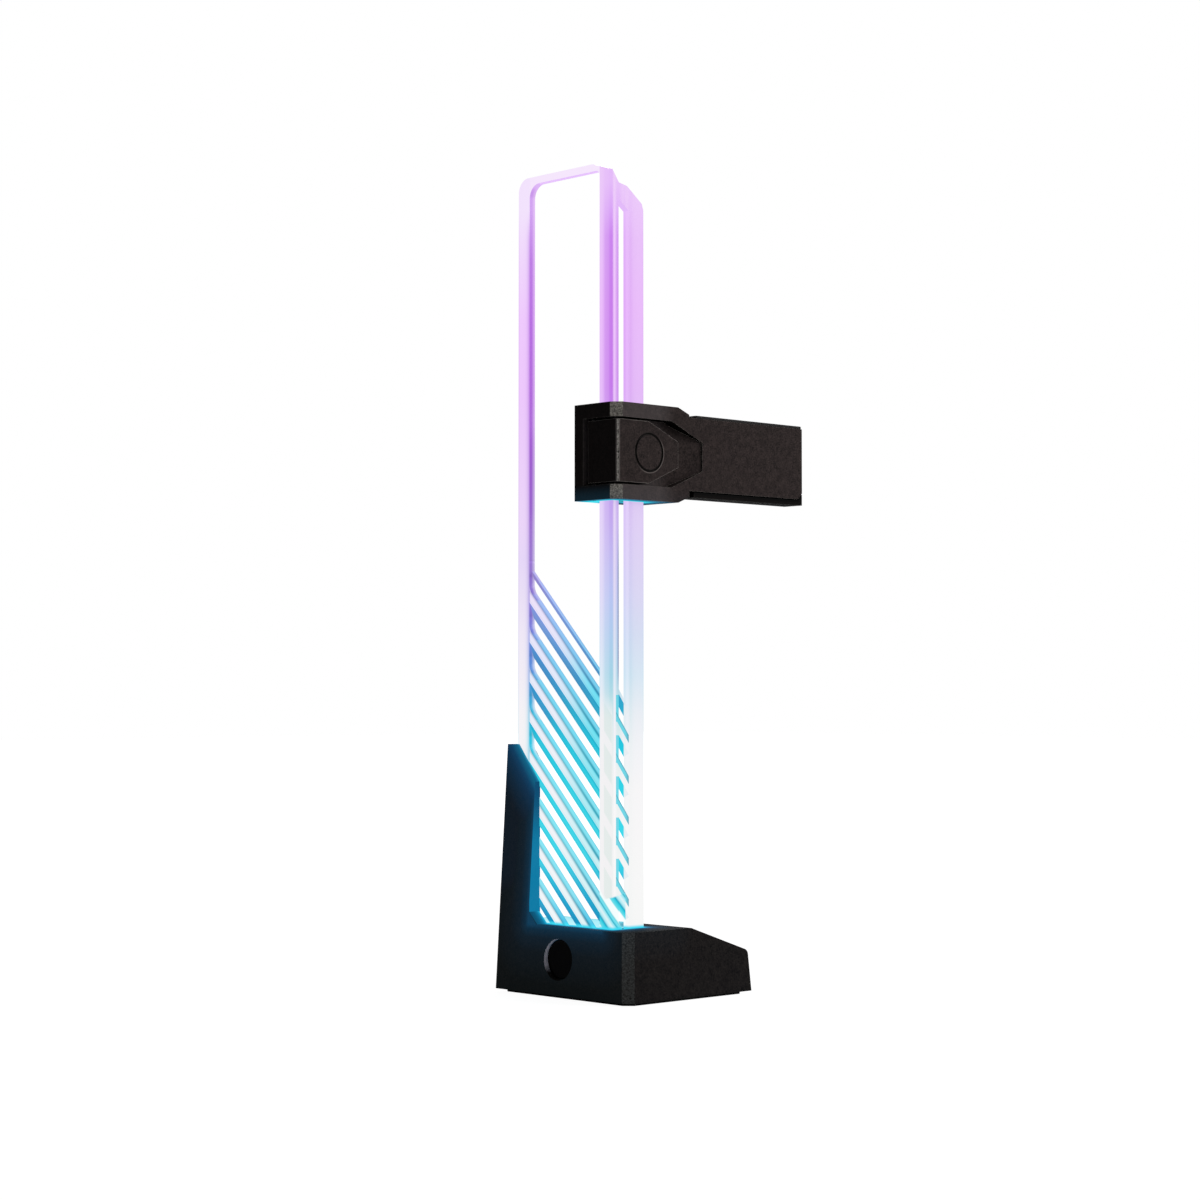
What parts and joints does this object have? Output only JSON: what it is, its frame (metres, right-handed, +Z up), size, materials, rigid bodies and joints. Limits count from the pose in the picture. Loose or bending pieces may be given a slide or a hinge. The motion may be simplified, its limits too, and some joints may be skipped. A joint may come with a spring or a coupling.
{
  "type": "graphics card support bracket",
  "caption": "Lit support bracket for a graphics card: a clear slotted tower in a low base, with an arm on a sliding carriage and a clamp lever.",
  "frame": {"origin": "centre of the base's bottom edge outline, on the ground under the soft foot", "axes": "+Z up, +X the way the arm points, +Y towards the rear of the base, where the tall post is"},
  "size_m": [0.0663, 0.0466, 0.2],
  "materials": {
    "black_shell": "fine grain, matte",
    "black_cap": "smooth, gloss black",
    "inner_plastic": "smooth moulded",
    "soft_foot": "soft, matte",
    "magnet_metal": "nickel plated",
    "screw_steel": "dark plated",
    "board_white": "white solder mask",
    "chip_white": "white, lit",
    "socket_plastic": "smooth moulded",
    "contact_metal": "gold plated",
    "clear_guide": "clear acrylic, edges frosted, lit from below",
    "black_carriage": "fine grain, matte",
    "black_block": "fine grain, matte",
    "glide_plastic": "smooth, slippery",
    "black_cover": "fine grain, matte",
    "soft_rest": "soft, matte",
    "brake_rubber": "soft, matte",
    "pin_steel": "ground",
    "black_lever": "fine grain, matte"
  },
  "bodies": {
    "stand": {"base_shell": "black_shell", "round_cap": "black_cap", "base_plate": "inner_plastic", "guide_keeper": "inner_plastic", "foot_pad": "soft_foot", "magnet_1": "magnet_metal", "magnet_2": "magnet_metal", "magnet_3": "magnet_metal", "base_screws": "screw_steel", "keeper_screws": "screw_steel", "light_board": "board_white", "light_chip_1": "chip_white", "light_chip_2": "chip_white", "light_chip_3": "chip_white", "light_chip_4": "chip_white", "light_chip_5": "chip_white", "cable_socket": "socket_plastic", "socket_contacts": "contact_metal", "light_guide": "clear_guide"},
    "carriage": {"carriage_shell": "black_carriage", "clamp_block": "black_block", "glide_front": "glide_plastic", "glide_side": "glide_plastic", "carriage_screws": "screw_steel", "arm_cover": "black_cover", "cover_screws": "screw_steel", "arm_rest": "soft_rest", "brake_pad": "brake_rubber", "hinge_pin": "pin_steel"},
    "lever": {"clamp_lever": "black_lever"}
  },
  "joints": [
    {"name": "carriage_slide", "type": "slide", "parent": "stand", "child": "carriage", "axis": [0, 0, 1], "range_m": [-0.036, 0.055]},
    {"name": "lever_swing", "type": "hinge", "parent": "carriage", "child": "lever", "pos_m": [-0.0181, -0.00895, 0.1302], "axis": [0, 0, -1], "range_deg": [0, 90]}
  ]
}
